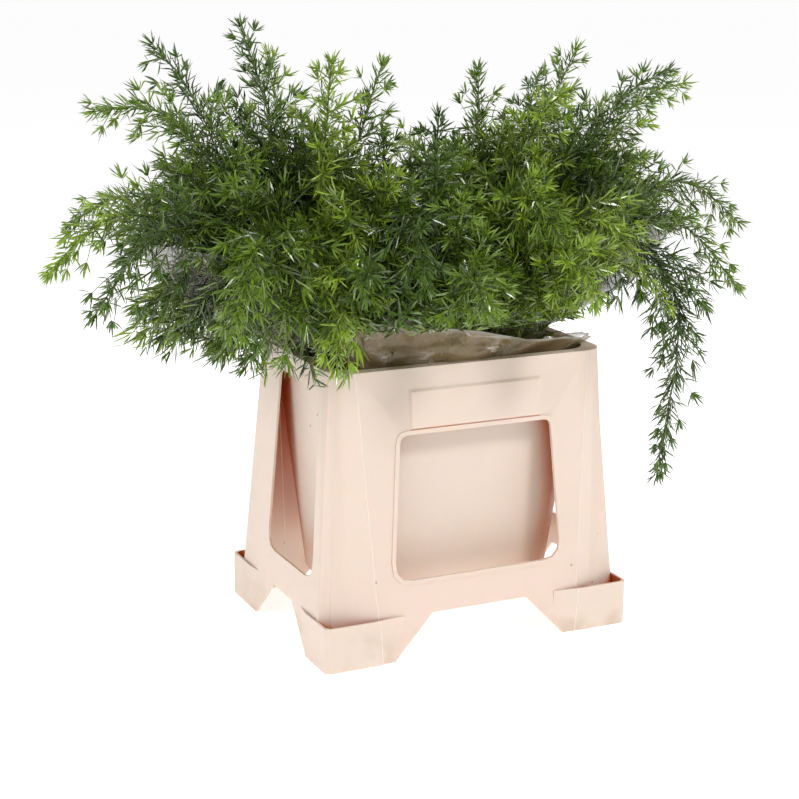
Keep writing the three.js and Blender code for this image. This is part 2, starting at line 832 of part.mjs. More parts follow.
// Shoots start from the facets that look up most, where there is room for them.
function growShoots(mesh, whorls, { name, curve, shoots }, room, random) {
  const ownAxis = curve.getSpacedPoints(60);
  const leaves = [...whorls];
  for (const shoot of shoots) {
    const whorl = whorls[shoot.at];
    const height = (side) => mesh.facetFrame(side.facet).normal.z;
    const order = [...whorl.sides].sort((a, b) => height(b) - height(a));
    for (const side of order.slice(0, 4)) {
      const found = tryShoot(mesh, side, whorl, shoot, ownAxis, room, random);
      if (found) {
        whorl.sides = whorl.sides.filter((other) => other !== side);
        leaves.push(...growShoot(mesh, side.facet, found, `${name}/shoot_${shoot.at}`, room));
        break;
      }
    }
  }
  return leaves;
}

// The main stem's stations: plain ones up to the leafy part, then a whorl at each even step
function mainStations(curve) {
  const radiusAt = (t) => mix(STEM.footRadius, STEM.tipRadius, t);
  const straight = (STRAIGHT_TO - FOOT_Z) / curve.getLength();
  const plain = [0, straight, ...LOWER_STEPS].map((at) => ({ at, whorl: false }));
  const leafy = evenFractions(LOWER_STEPS.at(-1), 0.985, STEM.whorls);
  return stationsAlong(curve, [...plain, ...leafy], radiusAt);
}

function growStem(stem, number, room) {
  const { name, curve } = stem;
  const random = randomFrom(STEM.seed + number);
  const mesh = new StemMesh();
  const side = new THREE.Vector3(1, 0, 0);
  const [foot, ...others] = stem.stations;
  const start = mesh.ring(foot.centre, foot.tangent, side, foot.radius);
  mesh.keep([[start[2], start[1], start[0]]]);
  const grown = growTube(mesh, start, side, others, name);
  mesh.spike(grown.ring, curve.getPointAt(1).addScaledVector(curve.getTangentAt(1), STEM.tipSpike));
  return { mesh, random, leaves: growShoots(mesh, grown.whorls, stem, room, random) };
}

function stemColour(number) {
  return [COLOURS.dark, COLOURS.mid, COLOURS.light][number % 3];
}

function addMesh(name, geometry, look) {
  const mesh = new THREE.Mesh(geometry, look);
  mesh.name = name;
  group.add(mesh);
}

// All main stems are placed in the room first, then the shoots, and the needles last.
function addStems() {
  const room = new Room(12);
  const stems = listStems();
  for (const { name, stations } of stems) {
    for (let i = 1; i < stations.length; i += 1) {
      room.add(stations[i - 1].centre, stations[i].centre, stations[i - 1].radius, name);
    }
  }
  const grown = stems.map((stem, i) => growStem(stem, i, room));
  grown.forEach(({ mesh, leaves, random }, i) => {
    const { name } = stems[i];
    for (const whorl of leaves) {
      growNeedles(mesh, whorl, name, room, random);
    }
    addMesh(name, mesh.geometry(), material(stemColour(i), 0.5));
  });
  return stems;
}

// Water with a plain hole for each stem
function waterGeometry(stems) {
  const bottom = TUB.bottom + WALL + GAP;
  const outlineInset = WALL + GAP;
  let water = tubSolid(bottom, WATER.level, outlineInset);
  for (const { curve } of stems) {
    const foot = curve.getPointAt(0);
    const hole = [0, 1, 2].map((k) => {
      const angle = (k / 3) * 2 * Math.PI;
      const radius = STEM.footRadius + 2 * GAP;
      return new THREE.Vector2(foot.x + radius * Math.cos(angle), foot.y + radius * Math.sin(angle));
    });
    water = water.subtract(prism(hole, alongZ, bottom + WATER.holeFloor, WATER.level + 1));
  }
  return toGeometry(water);
}

addMesh("container", containerGeometry(), material(COLOURS.plastic, 0.45));
const stems = addStems();
addMesh("water", waterGeometry(stems), material(COLOURS.water, 0.1, { transparent: true, opacity: 0.6 }));
for (const [name, { rows, lip }] of Object.entries(SLEEVES)) {
  const clear = material(COLOURS.film, 0.2, { transparent: true, opacity: 0.4 });
  addMesh(name, sleeveGeometry(rows, lip), clear);
  addMesh(name.replace("sleeve", "tie"), tieGeometry(rows), material(COLOURS.band, 0.6));
}

const box = new THREE.Box3().setFromObject(group);
const centre = box.getCenter(new THREE.Vector3());
group.position.set(-centre.x, -centre.y, -box.min.z);

export default group;
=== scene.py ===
"""Bunches of cut sprengeri fern in clear sleeves, standing in a plastic transport bucket: the looks, in
metres."""

import math

import bpy
import bmesh
import numpy as np
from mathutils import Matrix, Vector


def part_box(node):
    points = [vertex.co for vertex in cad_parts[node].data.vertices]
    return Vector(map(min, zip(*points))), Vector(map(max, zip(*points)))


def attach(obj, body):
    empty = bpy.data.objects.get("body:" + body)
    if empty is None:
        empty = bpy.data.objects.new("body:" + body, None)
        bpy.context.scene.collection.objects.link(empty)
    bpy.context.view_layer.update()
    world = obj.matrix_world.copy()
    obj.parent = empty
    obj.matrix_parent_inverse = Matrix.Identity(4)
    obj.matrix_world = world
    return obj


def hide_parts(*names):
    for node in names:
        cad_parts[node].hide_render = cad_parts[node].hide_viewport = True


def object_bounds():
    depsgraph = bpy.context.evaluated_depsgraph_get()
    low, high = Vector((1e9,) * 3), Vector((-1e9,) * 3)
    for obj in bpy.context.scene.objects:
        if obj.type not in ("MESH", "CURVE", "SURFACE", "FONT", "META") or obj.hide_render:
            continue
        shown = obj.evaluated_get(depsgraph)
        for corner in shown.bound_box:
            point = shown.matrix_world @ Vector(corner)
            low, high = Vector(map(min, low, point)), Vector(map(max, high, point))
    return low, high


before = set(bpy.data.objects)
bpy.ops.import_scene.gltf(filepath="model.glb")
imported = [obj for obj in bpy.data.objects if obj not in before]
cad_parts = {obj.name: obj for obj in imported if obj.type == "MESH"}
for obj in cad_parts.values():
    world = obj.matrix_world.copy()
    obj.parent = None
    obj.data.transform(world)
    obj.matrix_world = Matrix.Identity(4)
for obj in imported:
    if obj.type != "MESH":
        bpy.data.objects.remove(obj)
CAD_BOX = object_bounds()

# Shapes are worked out in millimetres about the middle of the bucket's foot, and turned into metres at the
# end.
MM = 0.001
BUCKET_LOW, BUCKET_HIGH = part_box("container")
FOOT = np.array([(BUCKET_LOW.x + BUCKET_HIGH.x) / 2, (BUCKET_LOW.y + BUCKET_HIGH.y) / 2, 0.0])

UP = np.array([0.0, 0.0, 1.0])
TURN = 2 * math.pi
GOLDEN = TURN * 0.381966

# Bucket: half sizes of the skirt at the rim and of the corner collars, and where the front and back faces
# end
RIM_Z = 340
SKIRT_RIM = np.array([178, 119.5])
CREASE_FLOOR = np.array([128, 148])
CREASE_RIM = np.array([151, 119.5])
COLLAR_HALF = np.array([200, 150])
WATER_Z = 130

# Sleeves: rows of [z, centre x, centre y, half x, half y], mirrored in x for the left one
SIDE_SLEEVE = np.array([
    [130.3, 75, 30, 18.5, 18.5],
    [160, 75, 30, 18.5, 18.5],
    [250, 77, 33, 44, 40],
    [340, 82, 37, 76, 64],
    [354, 106, 46, 100, 74],
    [392, 148, 60, 141, 96],
    [466, 174, 70, 162, 116],
], float)
# The right one flares a little more towards its mouth
RIGHT_FLARE = {"z": (354, 392, 466), "shift": (0, 13, 21), "widen": (0, 15, 25)}
FRONT_SLEEVE = np.array([
    [130.3, 0, -48, 23.5, 15],
    [160, 0, -48, 23.5, 15],
    [250, 3, -58, 80, 23],
    [340, 5, -73, 148, 37],
    [363, 12, -76, 168, 37],
], float)
FRONT_LIP = {"lean": -18, "swell": 10}
TIE = {"z": 146, "height": 5, "thick": 1.6, "gap": 0.3}

# Stems: each one runs through the neck, the rim and the mouth of its sleeve, [z, centre x, centre y, reach
# x, reach y]
SIDE_BUNCH = {
    "neck": (185, 75, 30, 15.2, 15.2),
    "rim": (340, 84, 38, 56, 48),
    "mouth": (474, 150, 54, 118, 84),
}
FRONT_BUNCH = {
    "neck": (185, 0, -49, 18.5, 10.6),
    "rim": (340, 5, -69, 104, 20),
    "mouth": (402, 8, -80, 132, 32),
}
FOOT_Z = 66.6
STRAIGHT_TO = WATER_Z + 5

# The tips of the stems, ring by ring. A stem with a second point hangs through that one.
BUNCHES = {
    "left": (SIDE_BUNCH, -1, [
        (0, [[(-235, 20, 728)]]),
        (0.47, [
            [(-60, 0, 682)], [(-150, 150, 690)], [(-320, 90, 705)], [(-425, -20, 628)], [(-165, -90, 690)],
        ]),
        (1, [
            [(-40, 50, 600)], [(-50, 210, 560)], [(-150, 300, 500)], [(-280, 290, 470)], [(-400, 180, 470)],
            [(-465, 30, 440)], [(-445, -90, 412)], [(-330, -200, 400)], [(-205, -190, 352)], [(-110, -220, 440)],
        ]),
    ]),
    "right": (SIDE_BUNCH, 1, [
        (0, [[(200, 0, 697)]]),
        (0.47, [[(377, 10, 644)], [(250, 180, 650)], [(93, 60, 672)], [(130, -110, 650)], [(312, -50, 667)]]),
        (1, [
            [(471, 10, 449)], [(430, 170, 470)], [(320, 280, 460)], [(190, 310, 500)], [(70, 230, 560)],
            [(15, 10, 620)], [(70, -210, 470)], [(190, -240, 400)], [(266, -105, 150), (268, -125, 400)],
            [(395, -90, 385)],
        ]),
    ]),
    "front": (FRONT_BUNCH, 1, [
        (0.42, [[(60, -140, 560)], [(-30, -70, 590)], [(-50, -180, 540)]]),
        (1, [
            [(180, -200, 430)], [(110, -60, 560)], [(20, -30, 590)], [(-90, -80, 570)], [(-180, -200, 450)],
            [(-60, -260, 420)], [(75, -270, 430)],
        ]),
    ]),
}

STEM = {
    "arch": 0.25, "foot_radius": 1.6, "tip_radius": 0.8, "sides": 6, "rings": 56,
    "leafy_from": 0.44, "leafy_to": 0.975,
    "shoots": 36, "longest": 124, "shortest": 8, "trailing": 92, "sag": 0.5,
    "node_gap": 7.5, "each": 5, "tuft": 7,
}
SHOOT = {
    "radius": 0.75, "tip_radius": 0.35, "sides": 4, "rings": 6,
    "node_gap": 8.0, "bare": 5, "each": 4, "tuft": 7, "twigs": 3,
}
TWIG = {
    "radius": 0.5, "tip_radius": 0.25, "sides": 3, "rings": 4,
    "node_gap": 8.0, "bare": 4, "each": 4, "tuft": 6,
}
NEEDLE = {"length": (22, 35), "width": (1.2, 1.75), "keel": 0.5, "bend": 0.24}
WHORL_LEAN = (0.75, 1.25)
TUFT_LEAN = (0.15, 1.2)
DRAPE = {"tries": 60, "shoots": 18, "length": (60, 150), "from": 0.45, "to": 0.66, "down": 0.4}
SEED = 4100

# How far leaves keep from the film and from the bucket's walls, and how far past the solids' box they may
# reach
FILM_ROOM = 4
BUCKET_ROOM = 3
PAST_BOX = np.array([0.03, 0.02, 0.02])


# How deep the folds are, and how dense and how tan the film looks on its right and on its left
FILMS = {
    "left": {"pleat": 7.0, "veil": (0.1, 0.26), "warm": (0.5, 0.1)},
    "right": {"pleat": 9.0, "veil": (0.4, 0.2), "warm": (0.0, 0.8)},
    "front": {"pleat": 9.0, "veil": (0.3, 0.3), "warm": (0.9, 1.0)},
}

# Camera, fitted to the bucket's edges: where it looks, how far away it is and at what angle
CAMERA = {
    "look_at": (-40.0, 0.0, 271.8), "distance": 2099.5,
    "azimuth": -25.7, "elevation": 14.1, "roll": 0.5,
}
FOCAL_PX = 1737.3
MIDDLE_SHIFT_PX = -1.3
IMAGE_PX = 799


def to_metres(points):
    return np.asarray(points, float) * MM + FOOT


def mix(a, b, t):
    return a + (b - a) * t


def unit(vectors):
    """Each vector divided by its length."""
    return vectors / np.maximum(np.linalg.norm(vectors, axis=-1, keepdims=True), 1e-9)


# Meshes

class Skin:
    """Blocks of points, faces and per-point values that are collected and then made into one mesh."""

    def __init__(self):
        self.points = []
        self.faces = []
        self.smooth = []
        self.values = {}
        self.count = 0

    def add(self, points, faces, smooth=True, **values):
        points = np.asarray(points, float).reshape(-1, 3)
        for name, value in values.items():
            filled = np.broadcast_to(np.asarray(value, float), (len(points),))
            self.values.setdefault(name, []).append(filled)
        for block in faces:
            self.faces.append(np.asarray(block, np.int64) + self.count)
            self.smooth.append(np.full(len(block), smooth))
        self.points.append(points)
        self.count += len(points)

    def make(self, name, material):
        """One object at the origin, with its place in its mesh."""
        mesh = bpy.data.meshes.new(name)
        points = to_metres(np.concatenate(self.points))
        mesh.vertices.add(len(points))
        mesh.vertices.foreach_set("co", points.astype(np.float32).ravel())
        sizes = np.concatenate([np.full(len(block), block.shape[1]) for block in self.faces])
        corners = np.concatenate([block.ravel() for block in self.faces])
        mesh.loops.add(len(corners))
        mesh.loops.foreach_set("vertex_index", corners.astype(np.int32))
        mesh.polygons.add(len(sizes))
        starts = np.concatenate([[0], np.cumsum(sizes)[:-1]])
        mesh.polygons.foreach_set("loop_start", starts.astype(np.int32))
        mesh.polygons.foreach_set("use_smooth", np.concatenate(self.smooth))
        for key, blocks in self.values.items():
            attribute = mesh.attributes.new(key, "FLOAT", "POINT")
            attribute.data.foreach_set("value", np.concatenate(blocks).astype(np.float32))
        mesh.update(calc_edges=True)
        mesh.validate()
        piece = bpy.data.objects.new(name, mesh)
        bpy.context.scene.collection.objects.link(piece)
        mesh.materials.append(material)
        return piece


def rings_to_faces(rings, sides, count=1):
    """Quads between neighbouring rings of a tube, and one flat face over each end, for count tubes in a
    row."""
    ring, side = np.meshgrid(np.arange(rings - 1), np.arange(sides), indexing="ij")
    here = (ring * sides + side).ravel()
    beside = (ring * sides + (side + 1) % sides).ravel()
    quads = np.stack([here, beside, beside + sides, here + sides], 1)
    first = np.arange(sides)[None, ::-1]
    last = (rings - 1) * sides + np.arange(sides)[None]
    shift = (np.arange(count) * rings * sides)[:, None, None]
    return [(block[None] + shift).reshape(-1, block.shape[1]) for block in (quads, first, last)]


def tubes(paths, radii, sides):
    """A tube round each path: p(s) + r(s) (cos a u + sin a v), where u and v are square to the path and to
    each other. paths is tubes by rings by 3, and radii is one row of radii for all or a row for each."""
    tangents = unit(np.gradient(paths, axis=1))
    overall = unit(paths[:, -1] - paths[:, 0])
    helper = np.where(np.abs(overall[:, 2:]) > 0.8, np.array([[1.0, 0, 0]]), UP[None])
    u = unit(np.cross(tangents, helper[:, None]))
    v = np.cross(tangents, u)
    angles = np.arange(sides) * TURN / sides
    across = np.cos(angles)[:, None] * u[:, :, None] + np.sin(angles)[:, None] * v[:, :, None]
    radii = np.broadcast_to(radii, paths.shape[:2])
    points = paths[:, :, None] + radii[:, :, None, None] * across
    return points, rings_to_faces(paths.shape[1], sides, len(paths))


# The middle corners of a needle: how far along it, across it and above it. The two sides are widest at
# different places, so that it looks narrow and even.
NEEDLE_CORNERS = [(0.22, 1.0, -0.25), (0.5, 0.0, 1.0), (0.72, -1.0, -0.25)]
NEEDLE_FACES = np.array(
    [[0, 1 + (k + 1) % 3, 1 + k] for k in range(3)] + [[1 + k, 1 + (k + 1) % 3, 4] for k in range(3)])
NEEDLE_ALONG = [0.0, 0.22, 0.5, 0.72, 1.0]


def needle_skin(roots, directions, sides, lengths, widths, bends):
    """Closed spindles with three sides: the middle line is root + t length direction + t^2 length bend,
    three corners stand off it on their own sides, and both ends run out to a point."""
    normals = unit(np.cross(directions, sides))
    reach, wide = lengths[:, None], widths[:, None]
    corners = [
        roots + reach * (t * directions + t * t * bends)
        + wide * (across * sides + NEEDLE["keel"] * deep * normals)
        for t, across, deep in NEEDLE_CORNERS
    ]
    points = np.stack([roots, *corners, roots + reach * (directions + bends)], 1)
    shift = (np.arange(len(roots)) * len(NEEDLE_ALONG))[:, None, None]
    return points, [(NEEDLE_FACES[None] + shift).reshape(-1, 3)]


# Where leaves may be

def row_at(rows, z):
    """The sleeve's row at height z, straight between the rows given."""
    return [np.interp(z, rows[:, 0], rows[:, column]) for column in range(1, 5)]


def front_lip(angle):
    return FRONT_LIP["lean"] * np.cos(angle) + FRONT_LIP["swell"] * np.sin(angle) ** 2


def clear_of_film(points, rows, lip):
    x, y, z = points[..., 0], points[..., 1], points[..., 2]
    top = rows[-1]
    angle = np.arctan2((y - top[2]) / top[4], (x - top[1]) / top[3])
    cx, cy, hx, hy = row_at(rows, np.minimum(z, top[0]))
    away = np.abs(np.hypot((x - cx) / hx, (y - cy) / hy) - 1) * np.minimum(hx, hy)
    return (away > FILM_ROOM) | (z > top[0] + lip(angle) + FILM_ROOM)


def clear_of_bucket(points):
    """True above the rim, and below it outside the skirt's straight lines."""
    share = points[..., 2:] / RIM_Z
    half = mix(COLLAR_HALF, SKIRT_RIM, share) + BUCKET_ROOM
    return (points[..., 2] > RIM_Z + BUCKET_ROOM) | (np.abs(points[..., :2]) > half).any(-1)


# The lowest leaves: their height and slope outwards past a reach, over the front sleeve's lip, and on the
# front right, where a line that slants in the photo's view leaves the film bare
LOWEST = {"height": 322, "slope": 0.22, "reach": 230}
OVER_LIP = {"height": 374, "slope": 0.22, "half_width": 165, "from_y": -60, "past_y": -105}
BARE_FILM = {"height": 401, "slope": 0.62, "from": 186, "to": 335, "before_y": 60}
RIGHT_IN_VIEW = (0.9, -0.43)
UP_IN_VIEW = (0.11, 0.23)


def lowest_leaf(points):
    """How far down leaves hang: just past the rim, higher further out and on the right, where they leave
    the film bare, and above the lip of the front sleeve."""
    x, y = points[..., 0], points[..., 1]
    past = np.maximum(np.hypot(x, y) - LOWEST["reach"], 0)
    around_bucket = LOWEST["height"] + LOWEST["slope"] * past
    over_lip = OVER_LIP["height"] + OVER_LIP["slope"] * np.maximum(OVER_LIP["past_y"] - y, 0)
    in_front = (np.abs(x) < OVER_LIP["half_width"]) & (y < OVER_LIP["from_y"])
    rightward = RIGHT_IN_VIEW[0] * x + RIGHT_IN_VIEW[1] * y
    slant = BARE_FILM["height"] + BARE_FILM["slope"] * (rightward - BARE_FILM["from"])
    beside_right = slant - UP_IN_VIEW[0] * x - UP_IN_VIEW[1] * y
    bare = (rightward > BARE_FILM["from"]) & (rightward < BARE_FILM["to"]) & (y < BARE_FILM["before_y"])
    lowest = np.where(bare, np.maximum(around_bucket, beside_right), around_bucket)
    return np.where(in_front, np.maximum(lowest, over_lip), lowest)


def mirrored(rows, side):
    return rows * np.array([1, side, 1, 1, 1])


def flared(rows):
    rows = rows.copy()
    rows[:, 1] += np.interp(rows[:, 0], RIGHT_FLARE["z"], RIGHT_FLARE["shift"])
    rows[:, 3] += np.interp(rows[:, 0], RIGHT_FLARE["z"], RIGHT_FLARE["widen"])
    return rows


SLEEVES = {
    "left": (mirrored(SIDE_SLEEVE, -1), lambda angle: 0 * angle),
    "right": (flared(SIDE_SLEEVE), lambda angle: 0 * angle),
    "front": (FRONT_SLEEVE, front_lip),
}

BOX_LOW = (np.array(CAD_BOX[0]) - PAST_BOX - FOOT) / MM
BOX_HIGH = (np.array(CAD_BOX[1]) + PAST_BOX - FOOT) / MM


def is_free(points, trails):
    """True for each row of points of which none touches film, bucket or the outside of the allowed box.
    Only what trails hangs lower than the rest."""
    free = clear_of_bucket(points) & ((points > BOX_LOW) & (points < BOX_HIGH)).all(-1)
    if not trails:
        free &= points[..., 2] > lowest_leaf(points)
    for rows, lip in SLEEVES.values():
        free &= clear_of_film(points, rows, lip)
    return free.all(-1)


# Stems

def spline(points, steps):
    """Uniform Catmull-Rom through the points: half of 2 b + (c - a) t + (2 a - 5 b + 4 c - d) t^2
    + (3 b - a - 3 c + d) t^3 from b to c, with each end carried on straight."""
    p = np.asarray(points, float)
    p = np.concatenate([[2 * p[0] - p[1]], p, [2 * p[-1] - p[-2]]])
    a, b, c, d = (p[i:len(p) - 3 + i, None] for i in range(4))
    t = np.linspace(0, 1, steps, endpoint=False)[None, :, None]
    curve = 0.5 * (2 * b + (c - a) * t + (2 * a - 5 * b + 4 * c - d) * t**2 + (3 * b - a - 3 * c + d) * t**3)
    return np.concatenate([curve.reshape(-1, 3), p[-2:-1]])


class Line:
    """A curve that is read by its share of length."""

    def __init__(self, points):
        self.points = points
        steps = np.linalg.norm(np.diff(points, axis=0), axis=1)
        self.length = steps.sum()
        self.shares = np.concatenate([[0], np.cumsum(steps)]) / self.length

    def at(self, share):
        return np.stack([np.interp(share, self.shares, self.points[:, axis]) for axis in range(3)], -1)

    def tangent(self, share):
        step = 0.01
        return unit(self.at(np.minimum(share + step, 1)) - self.at(np.maximum(share - step, 0)))


def main_line(shape, mirror, reach, angle, tip_and_via):
    q = reach * np.array([math.cos(angle), math.sin(angle)])

    def through(row):
        z, cx, cy, rx, ry = row
        return np.array([mirror * cx + rx * q[0], cy + ry * q[1], z])

    neck, rim, mouth = (through(shape[key]) for key in ("neck", "rim", "mouth"))
    tip = np.array(tip_and_via[0], float)
    via = mix(mouth, tip, 0.55)
    via[2] += STEM["arch"] * math.hypot(*(tip - mouth)[:2])
    if len(tip_and_via) > 1:
        via = np.array(tip_and_via[1], float)
    foot, surface = neck.copy(), neck.copy()
    foot[2], surface[2] = FOOT_Z, STRAIGHT_TO
    return Line(spline([foot, surface, neck, rim, mouth, via, tip], 24))


def around(tangents, angles):
    """A unit vector square to each tangent, at an angle round it from the upper side."""
    side = unit(np.cross(tangents, np.array([0.13, 0.05, 1.0])))
    upper = np.cross(side, tangents)
    return np.cos(angles)[:, None] * upper + np.sin(angles)[:, None] * side


class Branches:
    """Bowed branches: start + length (t direction + t^2 bow). size scales the needles on each."""

    def __init__(self, start, direction, length, bow, fresh, size):
        self.start, self.direction, self.length, self.bow = start, direction, length, bow
        self.fresh, self.size = fresh, size

    def at(self, t):
        """Points at the shares t, branches by shares by 3."""
        t = np.asarray(t)[None, :, None]
        reach = self.length[:, None, None]
        return self.start[:, None] + reach * (t * self.direction[:, None] + t * t * self.bow[:, None])

    def point(self, which, t):
        t = t[:, None]
        return self.start[which] + self.length[which, None] * (t * self.direction[which] + t * t * self.bow[which])

    def tangent(self, which, t):
        return unit(self.direction[which] + 2 * t[:, None] * self.bow[which])

    def keep(self, mask):
        parts = (self.start, self.direction, self.length, self.bow, self.fresh, self.size)
        return Branches(*(part[mask] for part in parts))


def grow_shoots(line, random, count, longest, sag):
    """Side shoots along the leafy part of a stem, longest near its start, turned round it by the golden
    angle. Those of an outer stem sag, so that they hang over the film."""
    share = np.linspace(STEM["leafy_from"], 0.95, count) + random.uniform(-0.012, 0.012, count)
    along = (share - STEM["leafy_from"]) / (1 - STEM["leafy_from"])
    tangent = line.tangent(share)
    angle = GOLDEN * np.arange(count) + random.uniform(0, TURN) + random.uniform(-0.4, 0.4, count)
    lean = random.uniform(0.65, 1.15, count)[:, None]
    direction = np.cos(lean) * tangent + np.sin(lean) * around(tangent, angle)
    direction = unit(direction - sag * random.uniform(0, 1, count)[:, None] * UP)
    length = mix(longest, STEM["shortest"], along**0.85) * random.uniform(0.75, 1.15, count)
    bow = 0.18 * tangent - random.uniform(0.02, 0.3, count)[:, None] * UP + random.normal(0, 0.08, (count, 3))
    return Branches(line.at(share), direction, length, bow, 0.25 + 0.5 * along, mix(1.0, 0.55, along**1.5))


def grow_twigs(shoots, random):
    """Short twigs on the outer half of each longer shoot."""
    which = np.repeat(np.arange(len(shoots.start)), SHOOT["twigs"])
    which = which[shoots.length[which] > 50]
    t = random.uniform(0.3, 0.85, len(which))
    tangent = shoots.tangent(which, t)
    lean = random.uniform(0.6, 1.0, len(which))[:, None]
    turned = around(tangent, random.uniform(0, TURN, len(which)))
    direction = unit(np.cos(lean) * tangent + np.sin(lean) * turned)
    length = random.uniform(24, 46, len(which))
    bow = 0.15 * tangent - random.uniform(0, 0.2, len(which))[:, None] * UP
    return Branches(shoots.point(which, t), direction, length, bow, shoots.fresh[which] + 0.1, shoots.size[which])


def node_shares(lengths, gap, bare):
    """For every branch the shares of its length at which needles stand, one after another."""
    counts = np.maximum(((lengths - bare) / gap).astype(int), 2)
    which = np.repeat(np.arange(len(lengths)), counts)
    first = np.repeat(np.cumsum(counts) - counts, counts)
    step = (np.arange(len(which)) - first) / np.repeat(counts - 1, counts)
    return which, mix(bare / lengths[which], 1.0, step)


def add_needles(skin, nodes, random, each, leans, trails):
    """A whorl of needles at each node, spread round the branch and leaning out from it."""
    roots, tangents, share, fresh = (np.repeat(part, each, 0) for part in nodes[:4])
    count = len(roots)
    spin = np.repeat(random.uniform(0, TURN, count // each), each)
    angle = spin + np.tile(np.arange(each), count // each) * TURN / each + random.normal(0, 0.3, count)
    lean = (random.uniform(*leans, count) - 0.2 * share**2)[:, None]
    direction = unit(np.cos(lean) * tangents + np.sin(lean) * around(tangents, angle))
    side = np.cross(direction, tangents) + random.normal(0, 0.3, (count, 3))
    side = unit(side - (side * direction).sum(1, keepdims=True) * direction)
    length = random.uniform(*NEEDLE["length"], count) * np.repeat(nodes[4], each)
    width = random.uniform(*NEEDLE["width"], count)
    bend = NEEDLE["bend"] * random.normal(0.5, 0.6, count)[:, None] * tangents
    bend -= random.uniform(0, 0.1, count)[:, None] * UP
    tips = roots + length[:, None] * (direction + bend)
    free = is_free(np.stack([mix(roots, tips, 0.5), tips], 1), trails)
    tone = np.clip(fresh + random.normal(0, 0.24, count) + 0.12 * share, 0, 1)[free]
    points, faces = needle_skin(roots[free], direction[free], side[free], length[free], width[free], bend[free])
    fresh = np.repeat(tone, len(NEEDLE_ALONG))
    skin.add(points, faces, False, fresh=fresh, wood=0.0, along=np.tile(NEEDLE_ALONG, len(tone)))


def add_branches(skin, branches, look, random, trails):
    """The tubes of some branches, with whorls of needles along them and a tuft at each end."""
    t = np.linspace(0, 1, look["rings"])
    radii = mix(look["radius"], look["tip_radius"], t)[None]
    points, faces = tubes(branches.at(t), radii, look["sides"])
    per = look["rings"] * look["sides"]
    skin.add(points, faces, fresh=np.repeat(branches.fresh, per), wood=0.6, along=0.0)
    which, share = node_shares(branches.length, look["node_gap"], look["bare"])
    place = branches.point(which, share), branches.tangent(which, share)
    nodes = *place, share, branches.fresh[which], mix(1.0, 0.8, share**2) * branches.size[which]
    add_needles(skin, nodes, random, look["each"], WHORL_LEAN, trails)
    which, share = np.arange(len(branches.start)), np.ones(len(branches.start))
    place = branches.point(which, share), branches.tangent(which, share)
    nodes = *place, share, branches.fresh + 0.15, 0.75 * branches.size
    add_needles(skin, nodes, random, look["tuft"], TUFT_LEAN, trails)


def free_branches(branches, trails):
    return branches.keep(is_free(branches.at(np.array([0.2, 0.35, 0.5, 0.65, 0.8, 1.0])), trails))


def drape(line, random):
    """Shoots near the mouth of the sleeve that reach outwards over the film and hang down, as many as find
    room."""
    count = DRAPE["tries"]
    share = random.uniform(DRAPE["from"], DRAPE["to"], count)
    outward = (line.at(np.full(count, 0.75)) - line.at(np.full(count, 0.2))) * np.array([1, 1, 0])
    spread = random.normal(0, 0.5, (count, 3)) * np.array([1, 1, 0.4])
    direction = unit(unit(outward) + spread - DRAPE["down"] * UP)
    length = random.uniform(*DRAPE["length"], count)
    bow = -random.uniform(0.1, 0.6, count)[:, None] * UP
    fresh = random.uniform(0.35, 0.8, count)
    shoots = free_branches(Branches(line.at(share), direction, length, bow, fresh, np.ones(count)), False)
    return shoots.keep(np.arange(len(shoots.start)) < DRAPE["shoots"])


def stem_piece(name, line, number, material, reach, trails, drapes):
    """One leafy stem: its main tube, side shoots, twigs and needles in one mesh."""
    random = np.random.default_rng(SEED + number)
    skin = Skin()
    share = np.linspace(0, STEM["leafy_to"], STEM["rings"])
    radii = mix(STEM["foot_radius"], STEM["tip_radius"], share)[None]
    points, faces = tubes(line.at(share)[None], radii, STEM["sides"])
    skin.add(points, faces, fresh=np.repeat(0.2 + 0.3 * share, STEM["sides"]), wood=1.0, along=0.0)

    longest = STEM["trailing"] if trails else STEM["longest"]
    shoots = free_branches(grow_shoots(line, random, STEM["shoots"], longest, STEM["sag"] * reach**2), trails)
    twigs = free_branches(grow_twigs(shoots, random), trails)
    add_branches(skin, shoots, SHOOT, random, trails)
    add_branches(skin, twigs, TWIG, random, trails)
    if drapes:
        add_branches(skin, drape(line, random), SHOOT, random, trails)

    nodes = int(line.length * (1 - STEM["leafy_from"]) / STEM["node_gap"])
    share = np.linspace(STEM["leafy_from"], STEM["leafy_to"], nodes)
    along = (share - STEM["leafy_from"]) / (1 - STEM["leafy_from"])
    along_stem = line.at(share), line.tangent(share), along, 0.3 + 0.4 * along, mix(0.9, 0.5, along**2)
    add_needles(skin, along_stem, random, STEM["each"], WHORL_LEAN, True)
    add_needles(skin, [part[-1:] for part in along_stem], random, STEM["tuft"], TUFT_LEAN, True)
    piece = skin.make(f"{name}_fine", material)
    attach(piece, "root")
    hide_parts(name)
    return piece


# Materials

class Value:
    """A number socket. Python's operators on it add Math nodes."""

    def __init__(self, look, socket):
        self.look, self.socket = look, socket

    def maths(self, operation, *inputs):
        return self.look.node("ShaderNodeMath", {"operation": operation}, dict(enumerate(inputs)))[0]

    def size(self):
        return self.look.node("ShaderNodeMath", {"operation": "ABSOLUTE"}, {0: self})[0]

    def __add__(self, other):
        return self.maths("ADD", self, other)

    def __sub__(self, other):
        return self.maths("SUBTRACT", self, other)

    def __rsub__(self, other):
        return self.maths("SUBTRACT", other, self)

    def __mul__(self, other):
        return self.maths("MULTIPLY", self, other)

    def __truediv__(self, other):
        return self.maths("DIVIDE", self, other)

    def __pow__(self, other):
        return self.maths("POWER", self, other)

    __radd__ = __add__
    __rmul__ = __mul__


